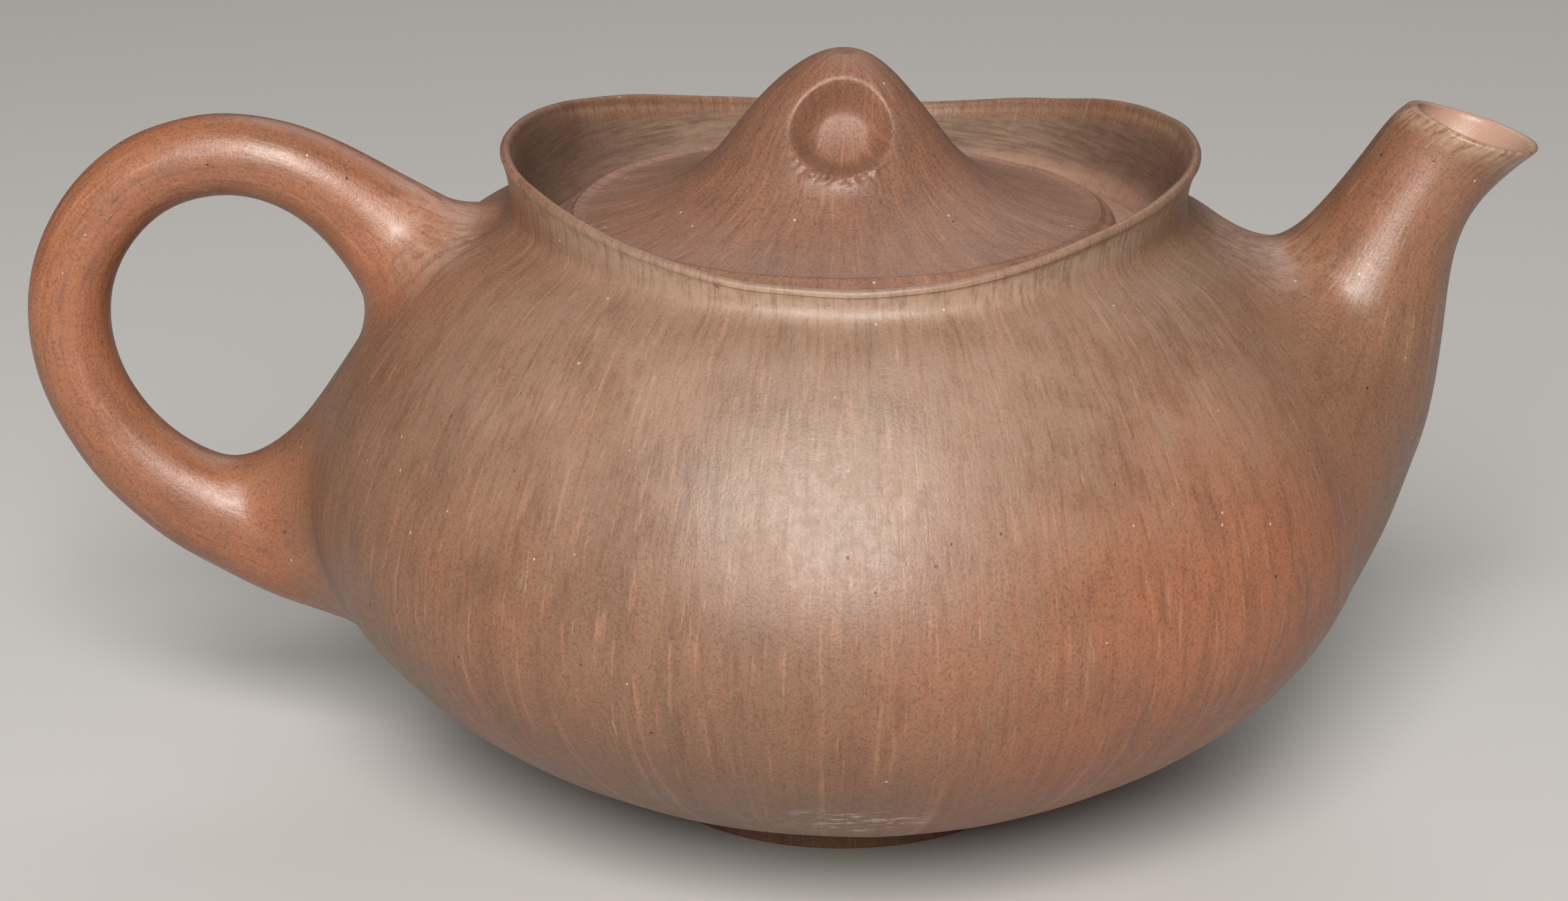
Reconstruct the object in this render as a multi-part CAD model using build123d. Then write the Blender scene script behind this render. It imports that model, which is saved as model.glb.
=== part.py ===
"""A hand-built yixing clay teapot: a squat apple-shaped pot with a saddle-rimmed neck, a tapered spout,
a round loop handle and a loose lid with a dimpled hump knob. Lengths are in millimetres.

The origin is on the pot's axis at table level, +X points to the spout, -X to the handle, +Z is up.
Each clay piece that the potter forms on its own is a node. The pot's pieces are luted face to face, and
the lid's three pieces lift off together.
"""

from build123d import *
import math
import os

# Belly: a thin shell whose outline is two smooth curves that meet at its widest circle.
wall = 3.0
base_radius = 21.5
belly_radius = 56.7
belly_height = 33.5
shoulder_radius = 43.0
shoulder_rise = 26.8
shoulder_height = belly_height + shoulder_rise
base_slope = 14.0
shoulder_slope = 45.0
base_reach = 19.0
lower_belly_reach = 13.2
upper_belly_reach = 9.0
shoulder_reach = 10.0

# Foot: a low ring under the floor.
foot_height = 3.0
foot_width = 3.5
foot_taper = 0.7

# Neck: a short collar, narrowest at its waist, cut off along a saddle that rises to handle and spout.
waist_inset = 6.7
waist_rise = 6.7
waist_radius = shoulder_radius - waist_inset
waist_height = shoulder_height + waist_rise
lip_flare = 1.1
lip_low_rise = 6.6
lip_rise = 5.8
lip_radius = waist_radius + lip_flare
lip_low = shoulder_height + lip_low_rise
lip_thickness = 1.8
lip_round = 0.5
neck_reach = 6.2
waist_reach = 3.0
neck_arch_rise = 2.1

# Seat: the ledge inside the neck that carries the lid.
seat_rise = 1.5
seat_thickness = 3.0
seat_inset = 10.7
seat_width = 4.8
seat_height = shoulder_height + seat_rise
seat_outer_radius = shoulder_radius - seat_inset
seat_inner_radius = seat_outer_radius - seat_width

# Lid: a thin plate that sweeps up under the knob, with a ring below that centres it in the seat.
lid_clearance = 2.7
lid_radius = seat_outer_radius - lid_clearance
lid_edge_height = 2.5
lid_edge_round = 0.8
lid_edge_slope = 8.0
lid_edge_reach = 8.0
lid_dome_rise = 5.4
flange_clearance = 0.6
flange_thickness = 2.5
flange_depth = 5.0

# Knob: a tall rounded hump on the middle of the lid, pressed in at the front and at the back.
knob_rise = 9.8
knob_foot_radius = 12.0
knob_foot_rise = 9.8
knob_foot_height = seat_height + knob_foot_rise
knob_top = knob_foot_height + knob_rise
knob_foot_slope = 53.0
knob_foot_reach = 7.0
lid_sweep_reach = 5.0
knob_crown_reach = 4.2
dimple_radius = 6.4
dimple_depth = 2.8
dimple_inset = 3.0
dimple_rise = 4.0
dimple_tilt = 38.0
dimple_place_radius = knob_foot_radius - dimple_inset
dimple_place_height = knob_foot_height + dimple_rise
vent_radius = 1.2
vent_inset = 1.6
vent_offset = dimple_place_radius - vent_inset

# Handle: a round coil bent into a loop in the XZ plane. Its roots flare into the belly. The upper root
# is (inwards from the shoulder circle, below it), and each route point is (outwards from the belly's
# widest radius, above the shoulder).
handle_grip_radius = 4.35
handle_upper_flare = 5.0
handle_upper_reach = 0.25
handle_lower_flare = 11.8
handle_lower_reach = 0.50
handle_flare_width = 0.65
handle_sections = 25
handle_upper_root = (0.5, 4.3)
handle_bends = [
    (-7.8, 2.2),
    (1.9, 8.3),
    (11.8, 8.5),
    (21.1, 2.7),
    (25.3, -7.9),
    (22.3, -19.4),
    (13.6, -28.0),
    (1.5, -32.1),
    (-15.7, -31.9),
]

# Spout: hollow, in sections across it. The root section is (upper end inwards from the shoulder circle,
# its height above the shoulder, lower end inwards from the belly, its depth below the shoulder, half
# width). The others are (upper end outwards from the belly, its height, lower end outwards from the
# belly, its height, half width), with heights from the shoulder.
spout_wall = 2.6
spout_lip_wall = 2.0
spout_root = (6.0, 0.7, 6.7, 36.3, 17.5)
spout_rest = [
    (-14.9, 0.5, 2.5, -27.3, 15.0),
    (-10.5, 1.1, 6.4, -16.3, 11.2),
    (-5.8, 5.1, 7.5, -4.3, 8.4),
    (-1.9, 10.4, 9.4, 4.1, 7.2),
    (0.6, 14.0, 12.5, 8.0, 6.9),
    (2.3, 15.5, 16.1, 11.3, 7.2),
]

# Strainer: a pierced dome inside the belly, over the hole that leads into the spout.
spout_hole_radius = 7.0
spout_hole_drop = 11.8
spout_hole_inset = 6.2
spout_hole_tilt = 30.0
spout_hole_height = shoulder_height - spout_hole_drop
spout_hole_place = belly_radius - spout_hole_inset
strainer_margin = 2.5
strainer_radius = spout_hole_radius + strainer_margin
strainer_wall = 1.6
strainer_hole_radius = 0.9
strainer_rings = [(0.0, 1), (25.0, 6), (48.0, 11)]

# How far a cutting solid runs past what it cuts.
past = 1.0


def step(radius, height, angle, length):
    """The outline point reached from (radius, height) by a step at this angle above the horizontal."""
    turn = math.radians(angle)
    return (radius + length * math.cos(turn), 0, height + length * math.sin(turn))


def turned(*outline):
    """The solid made by turning a closed outline about the pot's axis."""
    return revolve(make_face(outline), Axis.Z)


def base_edge(inset):
    """Where the belly's outline starts, moved into the clay by inset."""
    return step(base_radius, foot_height, base_slope + 90, inset)


def shoulder_edge(inset):
    """Where the belly's outline ends, moved into the clay by inset."""
    return step(shoulder_radius, shoulder_height, -90 - shoulder_slope, inset)


def belly_outline(inset):
    """The belly from its base edge to its shoulder, moved into the clay by inset."""
    start = base_edge(inset)
    end = shoulder_edge(inset)
    widest = belly_radius - inset
    lower = Bezier(
        start,
        step(start[0], start[2], base_slope, base_reach),
        (widest, 0, belly_height - lower_belly_reach),
        (widest, 0, belly_height),
    )
    upper = Bezier(
        (widest, 0, belly_height),
        (widest, 0, belly_height + upper_belly_reach),
        step(end[0], end[2], -shoulder_slope, shoulder_reach),
        end,
    )
    return [lower, upper]


def neck_outline():
    """The neck's outside, from the shoulder in to the waist and out to the lip's highest point."""
    top = lip_low + lip_rise
    shoulder = shoulder_edge(0)
    below_waist = Bezier(
        shoulder,
        step(shoulder_radius, shoulder_height, 180 - shoulder_slope, neck_reach),
        (waist_radius, 0, waist_height - waist_reach),
        (waist_radius, 0, waist_height),
    )
    above_waist = Bezier(
        (waist_radius, 0, waist_height),
        (waist_radius, 0, waist_height + waist_reach),
        (lip_radius, 0, top),
    )
    return [below_waist, above_waist]


def make_blank():
    """The pot's whole outer form as one solid, which trims the roots of the handle and the spout."""
    top = lip_low + lip_rise
    return turned(
        Line((0, 0, foot_height), base_edge(0)),
        *belly_outline(0),
        *neck_outline(),
        Line((lip_radius, 0, top), (0, 0, top)),
        Line((0, 0, top), (0, 0, foot_height)),
    )


def make_cavity():
    """The space inside the belly wall."""
    floor = base_edge(wall)
    ceiling = shoulder_edge(wall)
    return turned(
        Line((0, 0, floor[2]), floor),
        *belly_outline(wall),
        Line(ceiling, (0, 0, ceiling[2])),
        Line((0, 0, ceiling[2]), (0, 0, floor[2])),
    )


def spout_hole_plane():
    """Looks out along the spout hole, from the middle of the hole on the belly's inside."""
    out = step(0, 0, spout_hole_tilt, 1)
    return Plane(origin=(spout_hole_place, 0, spout_hole_height), x_dir=(0, 1, 0), z_dir=out)


def make_body_wall():
    shell = turned(
        *belly_outline(0),
        Line(shoulder_edge(0), shoulder_edge(wall)),
        *belly_outline(wall),
        Line(base_edge(wall), base_edge(0)),
    )
    hole = spout_hole_plane() * Cylinder(spout_hole_radius, 4 * wall)
    return shell - hole


def make_base_disc():
    floor = base_edge(wall)
    return turned(
        Line((0, 0, foot_height), base_edge(0)),
        Line(base_edge(0), floor),
        Line(floor, (0, 0, floor[2])),
        Line((0, 0, floor[2]), (0, 0, foot_height)),
    )


def make_foot_ring():
    inner = base_radius - foot_width
    return turned(
        Line((inner, 0, 0), (base_radius - foot_taper, 0, 0)),
        Line((base_radius - foot_taper, 0, 0), base_edge(0)),
        Line(base_edge(0), (inner, 0, foot_height)),
        Line((inner, 0, foot_height), (inner, 0, 0)),
    )


def above_saddle():
    """Everything above the lip's saddle, whose height grows with the square of x."""
    half = lip_radius + past
    rise = lip_rise * (half / lip_radius) ** 2
    ceiling = lip_low + rise + past
    saddle = Bezier((-half, 0, lip_low + rise), (0, 0, lip_low - rise), (half, 0, lip_low + rise))
    sides = Polyline(
        (half, 0, lip_low + rise),
        (half, 0, ceiling),
        (-half, 0, ceiling),
        (-half, 0, lip_low + rise),
    )
    return extrude(make_face([saddle, *sides.edges()]), half, dir=(0, 1, 0), both=True)


def make_neck_collar():
    top = lip_low + lip_rise
    seat_bottom = seat_height - seat_thickness
    arch_radius = (seat_outer_radius + shoulder_edge(wall)[0]) / 2
    ring = turned(
        *neck_outline(),
        Line((lip_radius, 0, top), (lip_radius - lip_thickness, 0, top)),
        Line((lip_radius - lip_thickness, 0, top), (seat_outer_radius, 0, seat_height)),
        Line((seat_outer_radius, 0, seat_height), (seat_outer_radius, 0, seat_bottom)),
        Bezier(
            (seat_outer_radius, 0, seat_bottom),
            (arch_radius, 0, shoulder_height + neck_arch_rise),
            shoulder_edge(wall),
        ),
        Line(shoulder_edge(wall), shoulder_edge(0)),
    )
    collar = ring - above_saddle()
    rim = collar.edges().filter_by(lambda edge: edge.center().Z > lip_low - past)
    return fillet(rim, min(lip_round, 0.3 * lip_thickness))


def make_lid_seat():
    height = seat_height - seat_thickness
    return turned(
        *Polyline(
            (seat_inner_radius, 0, height),
            (seat_outer_radius, 0, height),
            (seat_outer_radius, 0, seat_height),
            (seat_inner_radius, 0, seat_height),
            (seat_inner_radius, 0, height),
        ).edges()
    )


def handle_flare(along):
    """How much the handle is thicker than its grip, at this share of its length."""
    upper = max(0.0, 1 - along / handle_upper_reach)
    lower = max(0.0, 1 - (1 - along) / handle_lower_reach)
    return handle_upper_flare * upper**3 + handle_lower_flare * lower**3


def make_handle(blank):
    inwards, below = handle_upper_root
    points = [(inwards - shoulder_radius, 0, shoulder_height - below)]
    for outwards, above in handle_bends:
        points.append((-belly_radius - outwards, 0, shoulder_height + above))
    route = Spline(points)
    sections = []
    for number in range(handle_sections):
        along = number / (handle_sections - 1)
        flare = handle_flare(along)
        plane = Plane(origin=route @ along, x_dir=(0, 1, 0), z_dir=route % along)
        half_width = handle_grip_radius + handle_flare_width * flare
        sections.append(plane * Ellipse(half_width, handle_grip_radius + flare))
    return loft(sections) - blank


def spout_sections():
    """Each section across the spout as (upper x, upper z, lower x, lower z, half width)."""
    upper_in, above, lower_in, below, half_width = spout_root
    upper = (shoulder_radius - upper_in, shoulder_height + above)
    lower = (belly_radius - lower_in, shoulder_height - below)
    sections = [(*upper, *lower, half_width)]
    for upper_out, upper_rise, lower_out, lower_rise, half_width in spout_rest:
        upper = (belly_radius + upper_out, shoulder_height + upper_rise)
        lower = (belly_radius + lower_out, shoulder_height + lower_rise)
        sections.append((*upper, *lower, half_width))
    return sections


def spout_section(section, inset):
    """One oval across the spout, smaller all round by inset."""
    upper_x, upper_z, lower_x, lower_z, half_width = section
    across = Vector(upper_x - lower_x, 0, upper_z - lower_z)
    middle = ((upper_x + lower_x) / 2, 0, (upper_z + lower_z) / 2)
    plane = Plane(origin=middle, x_dir=across, z_dir=across.cross(Vector(0, -1, 0)))
    return plane * Ellipse(across.length / 2 - inset, half_width - inset)


def make_spout(blank):
    sections = spout_sections()
    thinning = (spout_wall - spout_lip_wall) / (len(sections) - 1)
    outer = loft([spout_section(section, 0) for section in sections])
    channel = [
        spout_section(section, spout_wall - thinning * number)
        for number, section in enumerate(sections)
    ]
    beyond = Pos(0, 0, past) * channel[-1]
    return outer - blank - loft([*channel, beyond])


def make_strainer(cavity):
    plane = spout_hole_plane()
    dome = Sphere(strainer_radius) - Sphere(strainer_radius - strainer_wall)
    for tilt, count in strainer_rings:
        for number in range(count):
            turn = Rot(0, 0, 360 * number / count) * Rot(0, tilt, 0)
            dome -= turn * Pos(0, 0, -strainer_radius) * Cylinder(strainer_hole_radius, 4 * strainer_wall)
    return (plane * dome) & cavity


def vent():
    """The thin upright hole that lets air in through the floor of the rear dimple."""
    bottom = seat_height
    length = dimple_place_height - bottom
    return Pos(0, vent_offset, bottom + length / 2) * Cylinder(vent_radius, length)


def make_lid_plate():
    inner = seat_inner_radius - flange_clearance - flange_thickness
    ceiling = seat_height + lid_dome_rise
    edge_top = (lid_radius - lid_edge_round, 0, seat_height + lid_edge_height)
    edge_bottom = (lid_radius - lid_edge_round, 0, seat_height)
    knob_foot = (knob_foot_radius, 0, knob_foot_height)
    plate = turned(
        Line((inner, 0, seat_height), edge_bottom),
        Bezier(edge_bottom, (lid_radius + lid_edge_round, 0, seat_height + lid_edge_height / 2), edge_top),
        Bezier(
            edge_top,
            step(edge_top[0], edge_top[2], 180 - lid_edge_slope, lid_edge_reach),
            step(knob_foot[0], knob_foot[2], -knob_foot_slope, lid_sweep_reach),
            knob_foot,
        ),
        Line(knob_foot, (0, 0, knob_foot_height)),
        Line((0, 0, knob_foot_height), (0, 0, ceiling)),
        Bezier((0, 0, ceiling), (inner * 2 / 3, 0, ceiling), (inner, 0, seat_height)),
    )
    return plate - vent()


def make_lid_flange():
    outer = seat_inner_radius - flange_clearance
    inner = outer - flange_thickness
    bottom = seat_height - flange_depth
    return turned(
        *Polyline(
            (inner, 0, bottom),
            (outer, 0, bottom),
            (outer, 0, seat_height),
            (inner, 0, seat_height),
            (inner, 0, bottom),
        ).edges()
    )


def make_knob():
    foot = (knob_foot_radius, 0, knob_foot_height)
    hump = turned(
        Line((0, 0, knob_foot_height), foot),
        Bezier(
            foot,
            step(foot[0], foot[2], 180 - knob_foot_slope, knob_foot_reach),
            (knob_crown_reach, 0, knob_top),
            (0, 0, knob_top),
        ),
        Line((0, 0, knob_top), (0, 0, knob_foot_height)),
    )
    hollow = step(dimple_place_radius, dimple_place_height, dimple_tilt, dimple_radius - dimple_depth)
    for side in (-1, 1):
        hump -= Pos(0, side * hollow[0], hollow[2]) * Sphere(dimple_radius)
    return hump - vent()


def main():
    blank = make_blank()
    nodes = {
        "body_wall": make_body_wall(),
        "base_disc": make_base_disc(),
        "foot_ring": make_foot_ring(),
        "neck_collar": make_neck_collar(),
        "lid_seat": make_lid_seat(),
        "spout": make_spout(blank),
        "spout_strainer": make_strainer(make_cavity()),
        "handle": make_handle(blank),
        "lid_plate": make_lid_plate(),
        "lid_flange": make_lid_flange(),
        "knob": make_knob(),
    }
    os.makedirs("parts", exist_ok=True)
    for name, solid in nodes.items():
        export_step(solid, f"parts/{name}.step")


main()
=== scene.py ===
"""The looks of a small hand-built clay teapot with a saddle rim, a loop handle and a dimpled lid knob.

The CAD frame gives the sizes and places. The skins of the pot and the lid are modelled here as closed
meshes in millimetres, with handle and spout roots that flow into the belly, and then scaled to metres.
"""

import math
from types import SimpleNamespace

import bpy
import numpy as np
from mathutils import Matrix, Vector


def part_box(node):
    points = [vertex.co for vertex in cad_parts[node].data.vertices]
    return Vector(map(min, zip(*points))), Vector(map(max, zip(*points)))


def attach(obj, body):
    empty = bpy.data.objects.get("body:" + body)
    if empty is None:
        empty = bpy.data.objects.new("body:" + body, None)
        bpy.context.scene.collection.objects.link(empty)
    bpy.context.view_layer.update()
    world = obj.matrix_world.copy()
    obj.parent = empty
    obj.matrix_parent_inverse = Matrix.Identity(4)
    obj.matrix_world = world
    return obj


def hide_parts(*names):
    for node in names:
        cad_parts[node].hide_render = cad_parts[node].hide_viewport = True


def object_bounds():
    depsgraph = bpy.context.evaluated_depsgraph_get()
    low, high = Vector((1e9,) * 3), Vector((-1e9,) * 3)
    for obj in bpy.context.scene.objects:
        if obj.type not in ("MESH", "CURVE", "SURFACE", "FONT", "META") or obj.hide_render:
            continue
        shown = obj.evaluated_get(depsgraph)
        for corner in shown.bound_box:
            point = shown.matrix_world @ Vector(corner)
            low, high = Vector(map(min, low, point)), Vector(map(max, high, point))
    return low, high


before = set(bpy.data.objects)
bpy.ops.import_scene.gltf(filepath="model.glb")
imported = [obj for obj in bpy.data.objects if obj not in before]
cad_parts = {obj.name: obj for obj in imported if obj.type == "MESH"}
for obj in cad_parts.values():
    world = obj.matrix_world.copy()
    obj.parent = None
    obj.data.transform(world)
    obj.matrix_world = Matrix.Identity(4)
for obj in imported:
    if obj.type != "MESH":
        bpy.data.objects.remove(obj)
cad_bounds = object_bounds()

MM = 0.001


def corners(node):
    """Lowest and highest corners of a CAD node, in millimetres."""
    low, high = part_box(node)
    return np.array(low) / MM, np.array(high) / MM


# The lid flange's thickness, which its box doesn't give.
FLANGE_WALL = 2.5

# Sizes read from the frame.
base_radius = corners("base_disc")[1][0]
base_height = corners("foot_ring")[1][2]
belly_radius = corners("body_wall")[1][0]
shoulder_radius = corners("neck_collar")[1][0]
shoulder_height = corners("body_wall")[1][2]
lip_top = corners("neck_collar")[1][2]
seat_radius = corners("lid_seat")[1][0]
seat_height = corners("lid_seat")[1][2]
seat_bottom = corners("lid_seat")[0][2]
lid_radius = corners("lid_plate")[1][0]
flange_inner_radius = corners("lid_flange")[1][0] - FLANGE_WALL
knob_foot_radius = corners("knob")[1][0]
knob_foot_height = corners("knob")[0][2]
knob_top = corners("knob")[1][2]

# Belly outline, as in the frame.
WALL = 3.0
BELLY_HEIGHT = 33.5
BASE_SLOPE = 14.0
SHOULDER_SLOPE = 45.0
BASE_REACH = 19.0
LOWER_BELLY_REACH = 13.2
UPPER_BELLY_REACH = 9.0
SHOULDER_REACH = 10.0
LOWER_BELLY_ROWS = 52
UPPER_BELLY_ROWS = 36

# Neck and lip. The lip is pinched in towards handle and spout, where it also rises.
LIP_FRONT_RADIUS = 38.2
LIP_PINCH = 1.9
LIP_SHIFT = 0.5
LIP_LOW = 66.7
LIP_RISE = lip_top - LIP_LOW
LIP_BACK_LIFT = 0.9
LIP_THICKNESS = 1.15
WAIST_FRONT_RADIUS = 38.0
WAIST_PINCH = 2.8
WAIST_HEIGHT = 65.3
WAIST_RISE = 0.7
WAIST_SHIFT = 0.35
SHOULDER_TO_NECK_REACH = 3.6
WAIST_REACH = 2.0
LIP_FLARE_SHARE = 0.55

# The rim's rounding over the lip, the funnel from the lip down to the seat, and the hidden arch below it.
LIP_EDGE_DROP = 0.7
RIM_CROWN = 0.25
RIM_BULGE = 0.1
RIM_INNER_DROP = 0.9
FUNNEL_TOP_PULL = (0.9, 3.0)
FUNNEL_FOOT_PULL = (1.4, 2.4)
ARCH_PULLS = [(34.0, 60.4), (38.0, 60.8)]
NECK_ROWS = 20
LIP_ROWS = 12

# Handle. Its flares grow towards the roots within these shares of its length.
HANDLE_GRIP_RADIUS = 4.35
HANDLE_UPPER_FLARE = 5.0
HANDLE_UPPER_REACH = 0.25
HANDLE_LOWER_FLARE = 11.8
HANDLE_LOWER_REACH = 0.50
HANDLE_FLARE_WIDTH = 0.65
HANDLE_ROUTE = [
    (-42.5, 56.0),
    (-48.9, 62.5),
    (-58.6, 68.6),
    (-68.5, 68.8),
    (-77.8, 63.0),
    (-82.0, 52.4),
    (-79.0, 40.9),
    (-70.3, 32.3),
    (-58.2, 28.2),
    (-41.0, 28.4),
]

# Root fillets: the radius on the limb's inner side, on its flanks and on its outer side.
HANDLE_UPPER_FILLET = (2.6, 5.5, 3.2)
HANDLE_LOWER_FILLET = (11.0, 6.5, 2.6)
SPOUT_FILLET = (2.6, 8.5, 5.0)

# Just past a fillet the skin slips under the pot's: (how far on, how high over the pot). Under it the
# handle's roots close in rows that shrink to these shares.
SEAM_STEPS = ((0.6, -0.03), (1.2, -0.15))
CAP_HEIGHT = -1.4
CAP_SHARES = (0.8, 0.3)
FILLET_ROWS = 22
SEARCH_STEPS = 64
ROUTE_STEPS = 1600
LIMB_SIDES = 160
HANDLE_ROWS = 150
SPOUT_ROWS = 90
CHANNEL_ROWS = 60

# Grain: noise changes this much slower along the form than across it.
GRAIN_SLOWNESS = 0.14
HANDLE_GRAIN_RADIUS = 6.0
SPOUT_GRAIN_RADIUS = 11.0

# Spout sections: upper x, upper z, lower x, lower z, half width.
SPOUT_WALL = 2.6
SPOUT_LIP_WALL = 1.0
SPOUT_SECTIONS = [
    (37.0, 61.0, 50.0, 24.0, 17.5),
    (41.8, 60.8, 59.2, 33.0, 15.0),
    (46.2, 61.4, 63.1, 44.0, 11.2),
    (50.9, 65.4, 64.2, 56.0, 8.4),
    (54.8, 70.7, 66.1, 64.4, 7.2),
    (57.3, 74.3, 69.2, 68.3, 7.1),
    (59.0, 75.8, 72.8, 71.6, 7.9),
]
MOUTH_DIP = 0.5
MOUTH_DIP_START = 0.85
SPOUT_LIP_SETBACK = 0.30
SPOUT_LIP_BULGE = 0.45
CHANNEL_END_HEIGHT = -0.15
SPOUT_SEARCH_START = 0.60
WALL_GROWTH = 2.5
LIP_WEAR_GROWTH = 5.5
SPOUT_HOLE_RADIUS = 7.0
SPOUT_HOLE_PLACE = (50.5, 0.0, 48.5)
SPOUT_HOLE_TILT = 30.0

# Lid and knob.
LID_EDGE_HEIGHT = 2.5
LID_EDGE_ROUND = 0.8
LID_EDGE_PULL = 2 * LID_EDGE_ROUND - 0.3
LID_EDGE_SLOPE = 8.0
LID_EDGE_REACH = 8.0
LID_DOME_RISE = 5.4
KNOB_FOOT_SLOPE = 53.0
KNOB_FOOT_REACH = 7.0
LID_SWEEP_REACH = 5.0
KNOB_CROWN_REACH = 4.2
KNOB_LEAN = -0.2
KNOB_LEAN_START = 65.0
KNOB_CROWN_LEAN = 0.5
KNOB_CROWN_START = 75.5
KNOB_LEAN_SPAN = 6.0
LID_GAP = 0.6
LID_SHIFT = -0.7
LID_BEAD_HEIGHT = 0.42
LID_BEAD_WIDTH = 0.75
LID_BEAD_INSET = 0.5
DIMPLE_PLACE_RADIUS = 9.0
DIMPLE_PLACE_HEIGHT = 75.4
DIMPLE_TILT = 33.0
DIMPLE_HALF_WIDTH = 5.2
DIMPLE_HALF_HEIGHT = 5.4
DIMPLE_DEPTH = 4.0
DIMPLE_MIDDLE = 0.4
DIMPLE_BACK = -6.5

# The dimple's shape, in shares of its half width and depth: where its floor ends, how wide its wall is,
# and how much of its depth the wall has. Then the burr and the shoulder: distance, width and height.
DIMPLE_FLOOR = 0.46
DIMPLE_WALL = 0.64
DIMPLE_WALL_SHARE = 0.62
BURR_REACH, BURR_WIDTH, BURR_HEIGHT = 1.10, 0.13, 0.20
BURR_GRAIN = 0.55
SHOULDER_REACH_OUT, SHOULDER_WIDTH, SHOULDER_RISE = 1.22, 0.22, 0.18

VENT_RADIUS = 1.2
VENT_OFFSET = 7.4
VENT_CUT = 20.0
LID_UNDER_ROWS = 24
LID_EDGE_ROWS = 12
LID_SWEEP_ROWS = 110
KNOB_FLOOR_ROWS = 20
KNOB_ROWS = 130

# Turned forms have this many sides, round holes fewer, and the lid's outlines end this near the axis.
AROUND = 384
HOLE_SIDES = 48
AXIS_GAP = 0.4
CROWN_AXIS_GAP = 0.15


# ---------------------------------------------------------------------------- outlines


def bezier(points, count):
    """Points along a Bezier curve, or along many at once when each control point is an array of them."""
    layers = [np.asarray(p, float) for p in points]
    share = np.linspace(0, 1, count).reshape(-1, *[1] * layers[0].ndim)
    layers = [layer + 0 * share for layer in layers]
    while len(layers) > 1:
        layers = [a + (b - a) * share for a, b in zip(layers, layers[1:])]
    return layers[0]


def step(start, angle, length):
    """The outline point reached from start by a step at this angle above the horizontal."""
    turn = math.radians(angle)
    return np.array([start[0] + length * math.cos(turn), start[1] + length * math.sin(turn)])


def joined(*curves):
    """One run of points from several that meet end to start."""
    return np.concatenate([curves[0]] + [curve[1:] for curve in curves[1:]])


def belly_outline(inset):
    """The belly from its base edge to its shoulder, as (radius, height), moved into the clay by inset."""
    start = step((base_radius, base_height), BASE_SLOPE + 90, inset)
    end = step((shoulder_radius, shoulder_height), -90 - SHOULDER_SLOPE, inset)
    widest = belly_radius - inset
    lower = bezier(
        [
            start,
            step(start, BASE_SLOPE, BASE_REACH),
            (widest, BELLY_HEIGHT - LOWER_BELLY_REACH),
            (widest, BELLY_HEIGHT),
        ],
        LOWER_BELLY_ROWS,
    )
    upper = bezier(
        [
            (widest, BELLY_HEIGHT),
            (widest, BELLY_HEIGHT + UPPER_BELLY_REACH),
            step(end, -SHOULDER_SLOPE, SHOULDER_REACH),
            end,
        ],
        UPPER_BELLY_ROWS,
    )
    return joined(lower, upper)


def pairs(radius, height):
    """Outline points, one for each direction, from arrays or single numbers."""
    return np.stack(np.broadcast_arrays(radius, height), -1).astype(float)


def lip_place(theta):
    """Radius and height of the lip's outer edge in each direction theta."""
    side = np.cos(theta)
    back = np.maximum(0, np.sin(theta))
    radius = LIP_FRONT_RADIUS - LIP_PINCH * side**2 + LIP_SHIFT * side
    lift = LIP_BACK_LIFT * (1 + 0.5 * side) * back * np.sin(2 * theta) ** 2
    height = LIP_LOW + LIP_RISE * side**2 + lift
    return radius, height


def waist_place(theta):
    """Radius and height of the neck's narrowest line in each direction theta."""
    side = np.cos(theta)
    radius = WAIST_FRONT_RADIUS - WAIST_PINCH * side**2 + WAIST_SHIFT * side
    return radius, WAIST_HEIGHT + WAIST_RISE * side**2


def neck_outside(theta):
    """The neck's outside from the shoulder to the lip, for each direction theta."""
    shoulder = pairs(shoulder_radius, shoulder_height + 0 * theta)
    inwards = step((0, 0), 180 - SHOULDER_SLOPE, SHOULDER_TO_NECK_REACH)
    waist = pairs(*waist_place(theta))
    lip = pairs(*lip_place(theta))
    climb = (lip - waist)[..., 1:] * np.array([0, 1.0])
    under_waist = waist - np.array([0, WAIST_REACH])
    below = bezier([shoulder, shoulder + inwards, under_waist, waist], NECK_ROWS)
    under_lip = lip - np.array([0, LIP_EDGE_DROP])
    above = bezier([waist, waist + LIP_FLARE_SHARE * climb, under_lip], LIP_ROWS)
    return joined(below, above)


def outside(theta):
    """The pot's outside from the base edge to the lip, for each direction theta."""
    belly = belly_outline(0)[:, None, :] + 0 * theta[:, None]
    return joined(belly, neck_outside(theta))


# ---------------------------------------------------------------------------- surfaces


def turned(outline, theta):
    """Points of an outline turned about the pot's axis: rows follow the outline, columns go round."""
    outline = np.asarray(outline, float)
    if outline.ndim == 2:
        outline = outline[:, None, :] + 0 * theta[:, None]
    radius, height = outline[..., 0], outline[..., 1]
    return np.stack([radius * np.cos(theta), radius * np.sin(theta), height], -1)


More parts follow.
